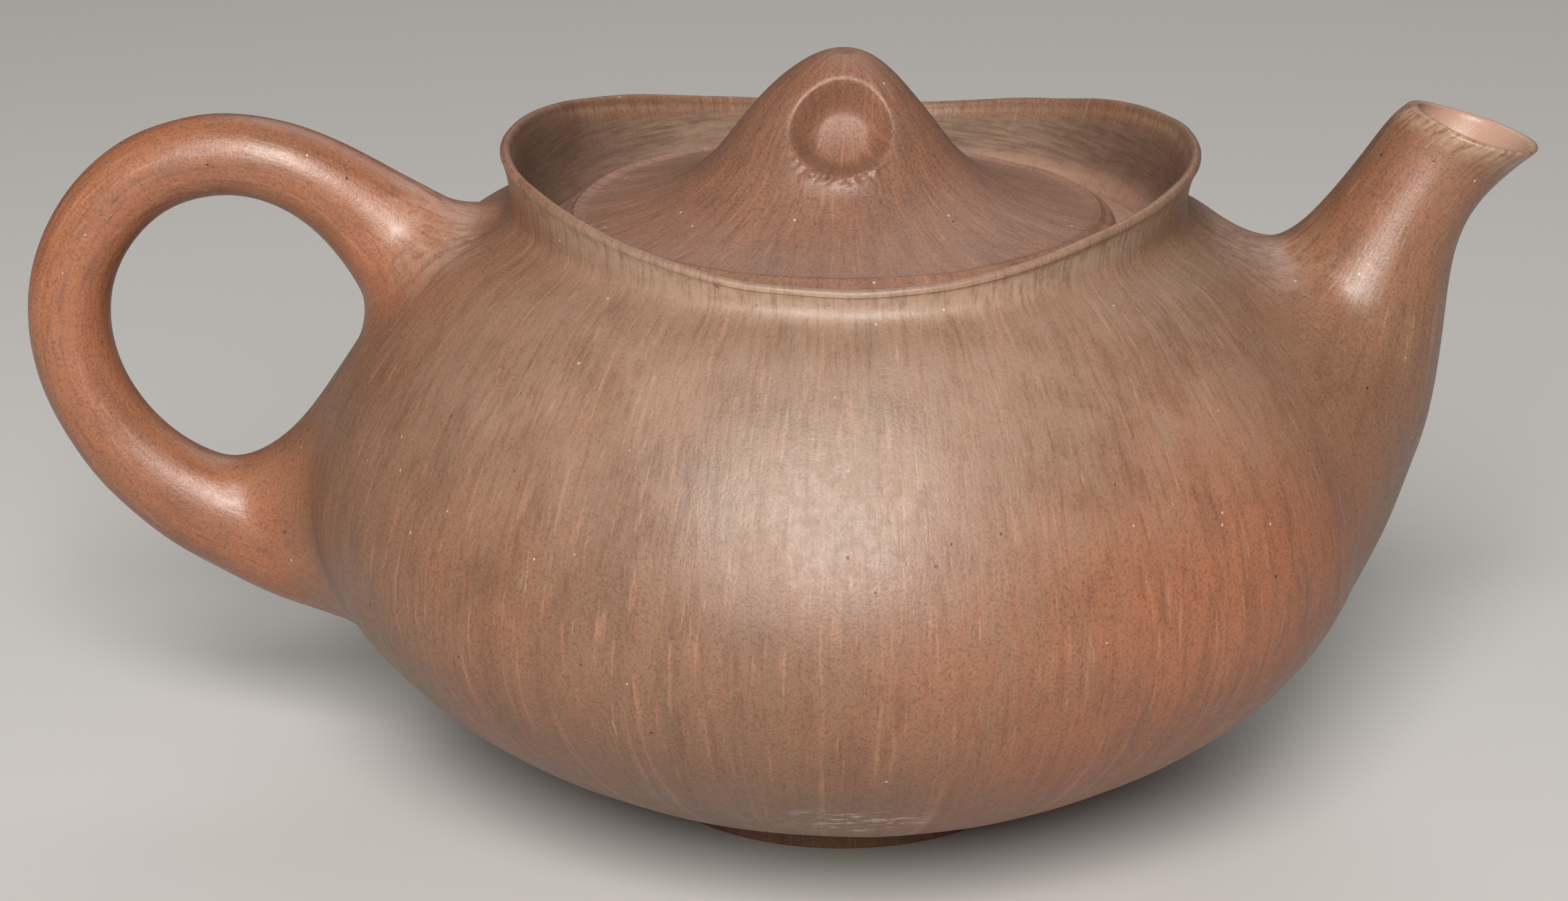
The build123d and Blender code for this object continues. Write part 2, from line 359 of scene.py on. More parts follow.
def near_outside(points):
    """Signed distance to the pot's outside, and its outward normal, for each point."""
    shape = points.shape[:-1]
    flat = points.reshape(-1, 3)
    theta = np.arctan2(flat[:, 1], flat[:, 0])
    here = np.stack([np.hypot(flat[:, 0], flat[:, 1]), flat[:, 2]], -1)
    outline = outside(theta)
    start, run = outline[:-1], np.diff(outline, axis=0)
    length = np.maximum(np.sum(run * run, -1), 1e-12)
    share = np.clip(np.sum((here - start) * run, -1) / length, 0, 1)
    gap = here - (start + share[..., None] * run)
    best = np.argmin(np.sum(gap * gap, -1), axis=0)
    column = np.arange(len(flat))
    gap, run = gap[best, column], run[best, column]
    normal = np.stack([run[:, 1], -run[:, 0]], -1) / np.linalg.norm(run, axis=-1, keepdims=True)
    distance = np.sum(gap * normal, -1)
    full = np.stack([normal[:, 0] * np.cos(theta), normal[:, 0] * np.sin(theta), normal[:, 1]], -1)
    return distance.reshape(shape), full.reshape(*shape, 3)


def settle(points, level):
    """The points moved onto the surface that lies level above the pot's outside."""
    for _ in range(3):
        distance, normal = near_outside(points)
        points = points + (level - distance)[..., None] * normal
    return points


def smooth_route(points, count):
    """Evenly spaced points on a natural cubic spline through the given ones."""
    points = np.asarray(points, float)
    spans = np.linalg.norm(np.diff(points[:, :2], axis=0), axis=1)
    knots = np.concatenate([[0], np.cumsum(spans)])
    size = len(points)
    system = np.eye(size)
    right = np.zeros_like(points)
    for i in range(1, size - 1):
        system[i, i - 1 : i + 2] = spans[i - 1], 2 * (spans[i - 1] + spans[i]), spans[i]
        right[i] = 6 * (
            (points[i + 1] - points[i]) / spans[i] - (points[i] - points[i - 1]) / spans[i - 1]
        )
    bend = np.linalg.solve(system, right)
    at = np.linspace(0, knots[-1], count)
    i = np.clip(np.searchsorted(knots, at, side="right") - 1, 0, size - 2)
    span = spans[i][:, None]
    ahead = (at - knots[i])[:, None]
    behind = span - ahead
    return (
        (bend[i] * behind**3 + bend[i + 1] * ahead**3) / (6 * span)
        + (points[i] / span - bend[i] * span / 6) * behind
        + (points[i + 1] / span - bend[i + 1] * span / 6) * ahead
    )


handle_line = smooth_route(HANDLE_ROUTE, ROUTE_STEPS)
handle_way = np.gradient(handle_line, axis=0)
handle_way /= np.linalg.norm(handle_way, axis=1, keepdims=True)

# A row of the spout's table: middle x and z, half of the section's height as x and z, and half width.
spout_lines = np.array(SPOUT_SECTIONS)
spout_middles = (spout_lines[:, :2] + spout_lines[:, 2:4]) / 2
spout_halves = (spout_lines[:, :2] - spout_lines[:, 2:4]) / 2
spout_rows = np.hstack([spout_middles, spout_halves, spout_lines[:, 4:]])
spout_line = smooth_route(spout_rows, ROUTE_STEPS)
SPOUT_LENGTH = np.linalg.norm(np.diff(spout_line[:, :2], axis=0), axis=1).sum()


def look_up(table, along):
    """The row of a table at each share of its length."""
    at = np.clip(along, 0, 1) * (len(table) - 1)
    low = np.minimum(at.astype(int), len(table) - 2)
    part = (at - low)[..., None]
    return table[low] * (1 - part) + table[low + 1] * part


def handle_skin(along, around, swell):
    """Points of the handle's skin at a share of its length and an angle round it, pushed out by swell."""
    along, around, swell = np.broadcast_arrays(along, around, swell)
    middle = look_up(handle_line, along)
    way = look_up(handle_way, along)
    upper = np.maximum(0, 1 - along / HANDLE_UPPER_REACH)
    lower = np.maximum(0, 1 - (1 - along) / HANDLE_LOWER_REACH)
    flare = HANDLE_UPPER_FLARE * upper**3 + HANDLE_LOWER_FLARE * lower**3
    tall = (HANDLE_GRIP_RADIUS + flare + swell) * np.cos(around)
    wide = (HANDLE_GRIP_RADIUS + HANDLE_FLARE_WIDTH * flare + swell) * np.sin(around)
    x = middle[..., 0] - way[..., 1] * tall
    z = middle[..., 1] + way[..., 0] * tall
    return np.stack([x, wide, z], -1)


def spout_skin(along, around, swell):
    """Points of the spout's skin at a share of its length and an angle round it, pushed out by swell."""
    along, around, swell = np.broadcast_arrays(along, around, swell)
    row = look_up(spout_line, along)
    half = row[..., 2:4]
    length = np.linalg.norm(half, axis=-1)
    tall = (length + swell) * np.cos(around) / length
    wide = (row[..., 4] + swell) * np.sin(around)
    # The lip dips a little at its two sides.
    near_mouth = np.clip((along - MOUTH_DIP_START) / (1 - MOUTH_DIP_START), 0, 1)
    dip = MOUTH_DIP * near_mouth**2 * np.sin(around) ** 2
    x = row[..., 0] + half[..., 0] * tall
    return np.stack([x, wide, row[..., 1] + half[..., 1] * tall - dip], -1)


def where_height(skin, around, swell, height, outer, inner):
    """The share along a limb, between outer and inner, where its skin is at this height over the pot."""
    tries = np.linspace(outer, inner, SEARCH_STEPS)[:, None]
    distance = near_outside(skin(tries, around[None, :], swell))[0] - height
    first = np.maximum(np.argmax(distance < 0, axis=0), 1)
    column = np.arange(len(around))
    before, after = distance[first - 1, column], distance[first, column]
    share = before / np.maximum(before - after, 1e-9)
    return tries[first - 1, 0] + share * (tries[first, 0] - tries[first - 1, 0])


def root_rows(skin, around, fillet, outer, inner):
    """Rows that carry a limb's skin down a round fillet and out along the pot's outside.

    They are looked for between the shares outer and inner of the limb's length. Returns the rows from the
    limb to the pot, the shares where they start, and how much each row still belongs to the limb.
    """
    rows, own, start = [], [], None
    for turn in np.linspace(0, math.pi / 2, FILLET_ROWS):
        height = fillet * (1 - math.sin(turn))
        swell = fillet * (1 - math.cos(turn))
        share = where_height(skin, around, swell, height, outer, inner)
        if start is None:
            start = share
        rows.append(settle(skin(share, around, swell), height))
        own.append(1 - turn / (math.pi / 2))
    # The last rows slip just under the pot's skin, so that the seam doesn't show.
    away = rows[-1] - rows[-2]
    away /= np.linalg.norm(away, axis=-1, keepdims=True)
    for reach, height in SEAM_STEPS:
        rows.append(settle(rows[FILLET_ROWS - 1] + reach * away, height))
        own.append(0.0)
    return rows, start, own


# ---------------------------------------------------------------------------- meshes


WAVES = 9


def unevenness(points, size, depth, seed):
    """A smooth hand-made unevenness of this size and depth, one number for each point."""
    random = np.random.RandomState(seed)
    ways = random.normal(size=(WAVES, 3))
    ways /= np.linalg.norm(ways, axis=1, keepdims=True)
    ways *= random.uniform(0.6, 1.4, (WAVES, 1)) * math.pi / size
    phases = random.uniform(0, 2 * math.pi, WAVES)
    waves = np.zeros(points.shape[:-1])
    for way, phase in zip(ways, phases):
        waves += np.sin(points @ way + phase)
    return depth * waves / math.sqrt(WAVES)


def wrapped_faces(rows, columns, closed):
    """Quads of a grid whose columns go round, and whose rows do too when it is closed."""
    row = np.arange(rows if closed else rows - 1)
    column = np.arange(columns)
    a = row[:, None] * columns + column
    b = row[:, None] * columns + (column + 1) % columns
    next_row = (row + 1) % rows
    c = next_row[:, None] * columns + (column + 1) % columns
    d = next_row[:, None] * columns + column
    return np.stack([a, b, c, d], -1).reshape(-1, 4).tolist()


# Edges sharper than this many degrees are shaded as edges. Finely rounded pieces take the higher one.
CREASE = 38
SOFT_CREASE = 50


def make_piece(
    name, rows, grain, body, stands_for=(), closed=True, own=None, crease=CREASE, worn=None
):
    """A closed mesh from a grid of points in millimetres, placed on a body of the frame.

    A grid that isn't closed along its rows is capped by one point at each end. The material reads three
    attributes: grain is a coordinate whose noise runs along the form, own says how far a place has its
    limb's grain and not the belly's, and worn rises to a half near a rubbed lip and is one inside it.
    """
    rows = np.asarray(rows, float)
    count, columns = rows.shape[:2]
    points = rows.reshape(-1, 3)
    grains = np.asarray(grain, float).reshape(-1, 3)
    limb = np.zeros(count) if own is None else np.asarray(own, float)
    owns = np.broadcast_to(limb[:, None], (count, columns)).ravel()
    wear = np.zeros(count) if worn is None else np.asarray(worn, float)
    wears = np.broadcast_to(wear[:, None], (count, columns)).ravel()
    faces = wrapped_faces(count, columns, closed)
    if not closed:
        first, last = len(points), len(points) + 1
        points = np.vstack([points, rows[0].mean(0), rows[-1].mean(0)])
        grains = np.vstack([grains, grains[:columns].mean(0), grains[-columns:].mean(0)])
        owns = np.concatenate([owns, owns[[0, -1]]])
        wears = np.concatenate([wears, wears[[0, -1]]])
        for c in range(columns):
            after = (c + 1) % columns
            faces.append((first, after, c))
            faces.append((last, (count - 1) * columns + c, (count - 1) * columns + after))
    mesh = bpy.data.meshes.new(name)
    mesh.from_pydata((points * MM).tolist(), [], faces)
    mesh.validate()
    attribute = mesh.attributes.new("grain", "FLOAT_VECTOR", "POINT")
    attribute.data.foreach_set("vector", grains.astype(np.float32).ravel())
    for label, values in (("own", owns), ("worn", wears)):
        attribute = mesh.attributes.new(label, "FLOAT", "POINT")
        attribute.data.foreach_set("value", values.astype(np.float32))
    face_outwards(mesh)
    mesh.polygons.foreach_set("use_smooth", [True] * len(mesh.polygons))
    mesh.set_sharp_from_angle(angle=math.radians(crease))
    piece = bpy.data.objects.new(name, mesh)
    bpy.context.scene.collection.objects.link(piece)
    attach(piece, body)
    if stands_for:
        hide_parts(*stands_for)
    return piece


def face_outwards(mesh):
    """Turns a closed mesh's faces outwards if its volume comes out negative."""
    mesh.calc_loop_triangles()
    corner = np.zeros(len(mesh.vertices) * 3)
    mesh.vertices.foreach_get("co", corner)
    corner = corner.reshape(-1, 3)
    triangles = np.zeros(len(mesh.loop_triangles) * 3, np.int32)
    mesh.loop_triangles.foreach_get("vertices", triangles)
    a, b, c = (corner[triangles.reshape(-1, 3)[:, i]] for i in range(3))
    if np.sum(a * np.cross(b, c)) < 0:
        mesh.flip_normals()


# ---------------------------------------------------------------------------- pieces

THETA = np.linspace(0, 2 * math.pi, AROUND, endpoint=False)
pot_low, pot_high = (np.array(corner) / MM for corner in cad_bounds)

# The waves that hands leave in clay: (size, depth, how far their seed is from the axis's own).
HAND_WAVES = ((24.0, 0.28, 0), (6.0, 0.05, 9))
HAND_SEEDS = (3, 17, 41)
BOX_MARGIN = 0.01
LIMB_STRENGTH = 1.3
LID_STRENGTH = 0.8


def hand_made(points, strength=1.0):
    """The points with the slight waves of hand-formed clay, kept inside the frame's box."""
    push = [
        sum(unevenness(points, size, depth, seed + shift) for size, depth, shift in HAND_WAVES)
        for seed in HAND_SEEDS
    ]
    moved = points + strength * np.stack(push, -1)
    return np.clip(moved, pot_low + BOX_MARGIN, pot_high - BOX_MARGIN)


def bored(piece, middle, way, radius, length):
    """Cuts a round hole through a piece."""
    cutter_mesh = bpy.data.meshes.new("cutter")
    turns = np.linspace(0, 2 * math.pi, HOLE_SIDES, endpoint=False)
    rings = [
        (radius * math.cos(t), radius * math.sin(t), level)
        for level in (-length / 2, length / 2)
        for t in turns
    ]
    ends = [tuple(range(HOLE_SIDES - 1, -1, -1)), tuple(range(HOLE_SIDES, 2 * HOLE_SIDES))]
    sides = wrapped_faces(2, HOLE_SIDES, False)
    cutter_mesh.from_pydata(rings, [], sides + ends)
    cutter = bpy.data.objects.new("cutter", cutter_mesh)
    turn = Vector(way).to_track_quat("Z", "Y").to_matrix().to_4x4()
    cutter.matrix_world = (
        Matrix.Diagonal((MM, MM, MM, 1)) @ Matrix.Translation(Vector(middle)) @ turn
    )
    bpy.context.scene.collection.objects.link(cutter)
    cut = piece.modifiers.new("hole", "BOOLEAN")
    cut.operation = "DIFFERENCE"
    cut.solver = "EXACT"
    cut.object = cutter
    bpy.context.view_layer.update()
    ready = piece.evaluated_get(bpy.context.evaluated_depsgraph_get())
    mesh = bpy.data.meshes.new_from_object(ready)
    piece.modifiers.clear()
    piece.data = mesh
    mesh.set_sharp_from_angle(angle=math.radians(CREASE))
    bpy.data.objects.remove(cutter)
    bpy.data.meshes.remove(cutter_mesh)


def make_belly():
    """The belly's shell, with the round hole that leads into the spout."""
    outline = np.concatenate([belly_outline(0), belly_outline(WALL)[::-1]])
    rows = hand_made(turned(outline, THETA))
    belly = make_piece("pot_belly", rows, rows, "pot", ["body_wall"])
    turn = math.radians(SPOUT_HOLE_TILT)
    way = (math.cos(turn), 0, math.sin(turn))
    bored(belly, SPOUT_HOLE_PLACE, way, SPOUT_HOLE_RADIUS, 4 * WALL)
    return belly


def make_neck():
    """The neck with its saddle lip, and the funnel that leads down to the seat."""
    radius, height = lip_place(THETA)
    inner = radius - LIP_THICKNESS
    rim = bezier(
        [
            pairs(radius, height - LIP_EDGE_DROP),
            pairs(radius + RIM_BULGE, height + RIM_CROWN),
            pairs(inner - RIM_BULGE, height + RIM_CROWN),
            pairs(inner, height - RIM_INNER_DROP),
        ],
        LIP_ROWS,
    )
    funnel = bezier(
        [
            pairs(inner, height - RIM_INNER_DROP),
            pairs(inner - FUNNEL_TOP_PULL[0], height - FUNNEL_TOP_PULL[1]),
            pairs(seat_radius + FUNNEL_FOOT_PULL[0], seat_height + FUNNEL_FOOT_PULL[1] + 0 * THETA),
            pairs(seat_radius, seat_height + 0 * THETA),
        ],
        NECK_ROWS,
    )
    shoulder = step((shoulder_radius, shoulder_height), -90 - SHOULDER_SLOPE, WALL)
    ledge = np.array([(seat_radius, seat_height), (seat_radius, seat_bottom)])
    arch = bezier([ledge[1], *ARCH_PULLS, shoulder], LIP_ROWS)
    hidden = joined(ledge, arch)[:, None, :] + 0 * THETA[:, None]
    rows = hand_made(turned(joined(neck_outside(THETA), rim, funnel, hidden), THETA))
    return make_piece("pot_neck", rows, rows, "pot", ["neck_collar"], crease=SOFT_CREASE)


def capped(rows):
    """Two rows that close a root under the pot's skin, shrunk towards the middle of its last row."""
    last = rows[-1]
    middle = last.mean(0)
    return [settle(middle + share * (last - middle), CAP_HEIGHT) for share in CAP_SHARES]


def limb_grain(rows, reach):
    """Grain along a limb, from its middle line: fine round it and slow along it."""
    middle = rows.mean(axis=1, keepdims=True)
    count = rows.shape[1]
    around = 2 * math.pi * np.arange(count) / count
    climb = np.linalg.norm(np.diff(middle[:, 0], axis=0, prepend=middle[:1, 0]), axis=-1).cumsum()
    climb = np.broadcast_to(climb[:, None], rows.shape[:2])
    ring = np.broadcast_to(around[None, :], rows.shape[:2])
    return np.stack([reach * np.cos(ring), reach * np.sin(ring), GRAIN_SLOWNESS * climb], -1)


def fillet_size(around, inner, side, outer):
    """A fillet's size round a limb, from its inner side past its flanks to its outer side."""
    turn = np.cos(around)
    return side + np.where(turn > 0, inner - side, outer - side) * turn**2


def make_handle():
    """The handle's bar with both its roots."""
    around = np.linspace(0, 2 * math.pi, LIMB_SIDES, endpoint=False)
    upper, upper_start, upper_own = root_rows(
        handle_skin, around, fillet_size(around, *HANDLE_UPPER_FILLET), outer=0.40, inner=0.0
    )
    lower, lower_start, lower_own = root_rows(
        handle_skin, around, fillet_size(around, *HANDLE_LOWER_FILLET), outer=0.50, inner=1.0
    )
    share = np.linspace(0, 1, HANDLE_ROWS)[1:-1, None]
    bar = handle_skin(upper_start + (lower_start - upper_start) * share, around[None, :], 0.0)
    start = capped(upper)[::-1] + upper[::-1]
    end = lower + capped(lower)
    rows = hand_made(np.array(start + list(bar) + end), LIMB_STRENGTH)
    own = [0, 0] + upper_own[::-1] + [1.0] * len(bar) + lower_own + [0, 0]
    grain = limb_grain(rows, HANDLE_GRAIN_RADIUS)
    return make_piece("pot_handle", rows, grain, "pot", ["handle"], False, own)


def make_spout():
    """The spout's root and skin, round its lip, and back down its channel to the root."""
    around = np.linspace(0, 2 * math.pi, LIMB_SIDES, endpoint=False)
    root, start, root_own = root_rows(
        spout_skin, around, fillet_size(around, *SPOUT_FILLET), outer=SPOUT_SEARCH_START, inner=0.0
    )
    end = 1 - SPOUT_LIP_SETBACK / SPOUT_LENGTH
    share = np.linspace(0, 1, SPOUT_ROWS)[1:, None]
    skin = spout_skin(start + (end - start) * share, around[None, :], 0.0)
    last = spout_line[-1] - spout_line[-8]
    forward = np.array([last[0], 0, last[1]]) / math.hypot(last[0], last[1])
    lip = [
        spout_skin(end, around, -SPOUT_LIP_WALL * (1 - math.cos(t)) / 2)
        + SPOUT_LIP_BULGE * math.sin(t) * forward
        for t in np.linspace(0, math.pi, LIP_ROWS)[1:]
    ]
    inner_end = where_height(
        spout_skin, around, -SPOUT_WALL, CHANNEL_END_HEIGHT, SPOUT_SEARCH_START, 0.0
    )
    channel = []
    for part in np.linspace(0, 1, CHANNEL_ROWS)[1:]:
        along = end + (inner_end - end) * part
        thickness = SPOUT_LIP_WALL + (SPOUT_WALL - SPOUT_LIP_WALL) * min(1.0, WALL_GROWTH * part)
        channel.append(spout_skin(along, around, -thickness))
    channel[-1] = settle(channel[-1], CHANNEL_END_HEIGHT)
    rows = hand_made(np.array(root[::-1] + list(skin) + lip + channel))
    own = root_own[::-1] + [1.0] * (len(skin) + len(lip) + len(channel))
    near_lip = np.clip(1 - (1 - np.linspace(0, 1, len(skin))) * LIP_WEAR_GROWTH, 0, 1)
    worn = [0.0] * len(root) + list(0.5 * near_lip)
    worn += list(np.linspace(0.5, 1.0, len(lip))) + [1.0] * len(channel)
    grain = limb_grain(rows, SPOUT_GRAIN_RADIUS)
    return make_piece(
        "pot_spout", rows, grain, "pot", ["spout"], True, own, worn=worn
    )


def ring_at(reach, middle, width):
    """One at this distance, falling to nothing a width or two from it."""
    return np.exp(-(((reach - middle) / width) ** 2))


def pressed(points):
    """The points with the two thumb dimples pressed into the knob, front and back."""
    tilt = math.radians(DIMPLE_TILT)
    for side in (-1, 1):
        middle = np.array([DIMPLE_MIDDLE, side * DIMPLE_PLACE_RADIUS, DIMPLE_PLACE_HEIGHT])
        out = np.array([0, side * math.cos(tilt), math.sin(tilt)])
        up = np.array([0, -side * math.sin(tilt), math.cos(tilt)])
        from_middle = points - middle
        across = from_middle[..., 0] / DIMPLE_HALF_WIDTH
        along = from_middle @ up / DIMPLE_HALF_HEIGHT
        proud = from_middle @ out
        reach = np.hypot(across, along)
        facing = proud > DIMPLE_BACK
        # A flat floor, a steep wall and a shallow hollow over both.
        inner = np.clip((reach - DIMPLE_FLOOR) / DIMPLE_WALL, 0, 1)
        wall = 1 - inner * inner * (3 - 2 * inner)
        bowl = DIMPLE_WALL_SHARE * wall + (1 - DIMPLE_WALL_SHARE) * np.maximum(0, 1 - reach**2)
        # The clay that the thumb pushed up: a smooth shoulder all round, and a ragged burr below.
        low = np.clip(-along, 0, 1)
        wobble = unevenness(points, BURR_GRAIN, 1.0, 5 + side) * low
        burr = ring_at(reach, BURR_REACH, BURR_WIDTH) * low * BURR_HEIGHT * (1 + wobble)
        shoulder = ring_at(reach, SHOULDER_REACH_OUT, SHOULDER_WIDTH) * SHOULDER_RISE
        level = np.where(facing, burr + shoulder - DIMPLE_DEPTH * bowl, 0)[..., None]
        points = points + level * out
    return points


def leaned(points):
    """The lid's points, moved to where the lid sits and with the knob's slight lean."""
    height = points[..., 2]
    lean = KNOB_LEAN * np.clip((height - KNOB_LEAN_START) / KNOB_LEAN_SPAN, 0, 1) ** 2
    crown = KNOB_CROWN_LEAN * np.clip((height - KNOB_CROWN_START) / KNOB_LEAN_SPAN, 0, 1) ** 2
    return points + np.stack([LID_SHIFT + lean + crown, 0 * height, 0 * height], -1)


def lid_skin(outline):
    """The lid's surface from a turned outline."""
    return hand_made(leaned(pressed(turned(outline, THETA))), LID_STRENGTH)


def make_lid():
    """The lid's cover and its knob, with the vent bored through both."""
    foot = np.array([knob_foot_radius, knob_foot_height])
    edge = lid_radius - LID_EDGE_ROUND - LID_GAP
    top = np.array([edge, seat_height + LID_EDGE_HEIGHT])
    bottom = np.array([edge, seat_height])
    under = bezier(
        [
            (AXIS_GAP, seat_height + LID_DOME_RISE),
            (flange_inner_radius * 2 / 3, seat_height + LID_DOME_RISE),
            (flange_inner_radius, seat_height),
        ],
        LID_UNDER_ROWS,
    )
    brink = bezier(
        [
            bottom,
            (edge + LID_EDGE_PULL, seat_height + 0.1),
            (edge + LID_EDGE_PULL, seat_height + LID_EDGE_HEIGHT),
            top,
        ],
        LID_EDGE_ROWS,
    )
    sweep = bezier(
        [
            top,
            step(top, 180 - LID_EDGE_SLOPE, LID_EDGE_REACH),
            step(foot, -KNOB_FOOT_SLOPE, LID_SWEEP_REACH),
            foot,
        ],
        LID_SWEEP_ROWS,
    )
    # A low bead runs round the lid's edge.
    bead = LID_BEAD_HEIGHT * ring_at(sweep[:, 0], edge - LID_BEAD_INSET, LID_BEAD_WIDTH)
    sweep[:, 1] += bead * np.minimum(1, np.arange(LID_SWEEP_ROWS) / 3)
    floor = np.linspace(foot, (AXIS_GAP, knob_foot_height), KNOB_FLOOR_ROWS)
    rows = lid_skin(joined(under, np.array([under[-1], bottom]), brink, sweep, floor))
    cover = make_piece(
        "lid_cover", rows, rows, "lid", ["lid_plate"], False, crease=SOFT_CREASE
    )
    hump = bezier(
        [
            foot,
            step(foot, 180 - KNOB_FOOT_SLOPE, KNOB_FOOT_REACH),
            (KNOB_CROWN_REACH, knob_top),
            (CROWN_AXIS_GAP, knob_top),
        ],
        KNOB_ROWS,
    )
    rows = lid_skin(joined(floor[::-1], hump))
    knob = make_piece("lid_knob", rows, rows, "lid", ["knob"], False, crease=SOFT_CREASE)
    for piece in (cover, knob):
        bored(piece, (0, VENT_OFFSET, knob_foot_height), (0, 0, 1), VENT_RADIUS, VENT_CUT)
    return [cover, knob]


pot_pieces = [make_belly(), make_neck(), make_handle(), make_spout()]
lid_pieces = make_lid()


# ---------------------------------------------------------------------------- clay

RED = (0.290, 0.104, 0.048)
PATINA = (0.190, 0.101, 0.058)
DARK = (0.080, 0.042, 0.026)
LID_RED = (0.250, 0.096, 0.050)
LID_PATINA = (0.205, 0.110, 0.070)
FLECK = (0.420, 0.205, 0.120)
DASH = (0.42, 0.26, 0.16)
SAND = (0.42, 0.29, 0.20)
PALE_GRAIN = (0.60, 0.50, 0.40)
LIP_WEAR = (0.40, 0.28, 0.185)
# Inside the neck: dark and pale rubbed streaks, both darkened as painted shade in the recess.
NECK_DARK_AND_SHADE = (0.105, 0.060, 0.040)
NECK_PALE = (0.205, 0.130, 0.090)
# Paler ledge clay, carrying painted light on the spout side.
LEDGE_PALE_AND_LIT = (0.36, 0.205, 0.140)
SPOUT_LIP_WEAR = (0.44, 0.30, 0.20)
SPOUT_INSIDE = (0.42, 0.255, 0.185)
# A pale handling wash that is partly a painted highlight on the upper front.
WASH_AND_HIGHLIGHT = (0.31, 0.215, 0.155)
SLIP = (0.50, 0.41, 0.33)
SCUFF = (0.66, 0.60, 0.55)

BLUSH_PLACE = (37.0, -36.0, 25.0)
SCUFF_X = 1.0
SCUFF_Z = 14.5
POT_GRAIN_RADIUS = 57.0
LID_GRAIN_RADIUS = 24.0
GRAIN_SIZE = 1.3


class Graph:
    """Builds a material's nodes in short steps. Values may be numbers, tuples or other nodes' sockets."""

    def __init__(self, name):
        self.material = bpy.data.materials.new(name)
        self.material.use_nodes = True
        self.tree = self.material.node_tree
        self.tree.nodes.clear()

    def feed(self, socket, value):
        """Links or sets one input."""
        if isinstance(value, bpy.types.NodeSocket):
            self.tree.links.new(value, socket)
        else:
            socket.default_value = value

    def node(self, kind, inputs, **settings):
        """A new node with its inputs fed."""
        node = self.tree.nodes.new("ShaderNode" + kind)
        for key, value in settings.items():
            setattr(node, key, value)
        for key, value in inputs.items():
            self.feed(node.inputs[key], value)
        return node

    def add(self, kind, inputs, output=0, **settings):
        """One output of a new node."""
        return self.node(kind, inputs, **settings).outputs[output]

    def maths(self, operation, a, b=0.0, c=0.0):
        return self.add("Math", {0: a, 1: b, 2: c}, operation=operation)

    def times(self, *factors):
        """The product of several values."""
        product = factors[0]
        for factor in factors[1:]:
            product = self.maths("MULTIPLY", product, factor)
        return product

    def vector(self, operation, a, b):
        return self.add("VectorMath", {0: a, 1: b}, operation=operation)

    def length(self, a):
        return self.add("VectorMath", {0: a}, 1, operation="LENGTH")

    def noise(self, place, size, detail=3.0, rough=0.55, shift=0.0):
        """Noise whose features are about size millimetres across."""
        moved = self.vector("ADD", place, (shift, 0.37 * shift, -0.61 * shift))
        inputs = {"Vector": moved, "Scale": 1 / size, "Detail": detail, "Roughness": rough}
        return self.add("TexNoise", inputs)

    def band(self, value, low, high, start=0.0, end=1.0):
        """A smooth step of value from low to high, given as start to end."""
        inputs = {"Value": value, "From Min": low, "From Max": high, "To Min": start, "To Max": end}
        return self.add("MapRange", inputs, interpolation_type="SMOOTHSTEP")

    def blend(self, share, a, b):
        """Colour a turned into colour b by share."""
        rich = [(*c, 1.0) if isinstance(c, tuple) else c for c in (a, b)]
        return self.add("Mix", {0: share, 6: rich[0], 7: rich[1]}, 2, data_type="RGBA")

    def mix(self, share, a, b):
        """Number a turned into number b by share."""
        return self.add("Mix", {0: share, 2: a, 3: b}, data_type="FLOAT")

    def finish(self, shader):
        """Makes this shader the material's surface."""
        output = self.tree.nodes.new("ShaderNodeOutputMaterial")
        self.tree.links.new(shader, output.inputs[0])


def scaled(colour, share):
    """A colour made lighter or darker."""
    return tuple(share * part for part in colour)


def look_round(g):
    """What every part of the clay reads: where it is, in millimetres, and its noises at several sizes."""
    place = g.vector("MULTIPLY", g.add("TexCoord", {}, 3), (1000.0, 1000.0, 1000.0))
    x, y, z = g.node("SeparateXYZ", {0: place}).outputs
    flat = g.add("CombineXYZ", {0: x, 1: y, 2: 0.0})
    return SimpleNamespace(
        place=place,
        x=x,
        y=y,
        z=z,
        flat=flat,
        radius=g.length(flat),
        own=g.add("Attribute", {}, 2, attribute_name="own"),
        broad=g.noise(place, 24.0, 3.0, 0.5),
        cloud=g.noise(place, 7.0, 4.0, 0.6, 31.0),
        sand=g.noise(place, 0.30, 3.0, 0.7),
        coarse=g.noise(place, 1.1, 3.0, 0.65, 11.0),
    )


def drawn_noise(g, here, reach):
    """A maker of noise drawn out along the form: up and down the belly, and along a limb."""
    outwards = g.add("VectorMath", {0: here.flat}, operation="NORMALIZE")
    meridian = g.vector("MULTIPLY", outwards, (reach, reach, 0.0))
    rise = g.maths("MULTIPLY_ADD", here.z, GRAIN_SLOWNESS, g.maths("MULTIPLY", here.radius, -0.10))
    body_grain = g.vector("ADD", meridian, g.add("CombineXYZ", {0: 0.0, 1: 0.0, 2: rise}))
    limb_grain_place = g.add("Attribute", {}, 1, attribute_name="grain")

    def drawn(size, detail=4.0, rough=0.6, shift=0.0, shorten=1.0):
        scale = (1.0, 1.0, shorten)
        along_body = g.noise(g.vector("MULTIPLY", body_grain, scale), size, detail, rough, shift)
        along_limb = g.noise(g.vector("MULTIPLY", limb_grain_place, scale), size, detail, rough, shift)
        return g.mix(here.own, along_body, along_limb)

    return drawn


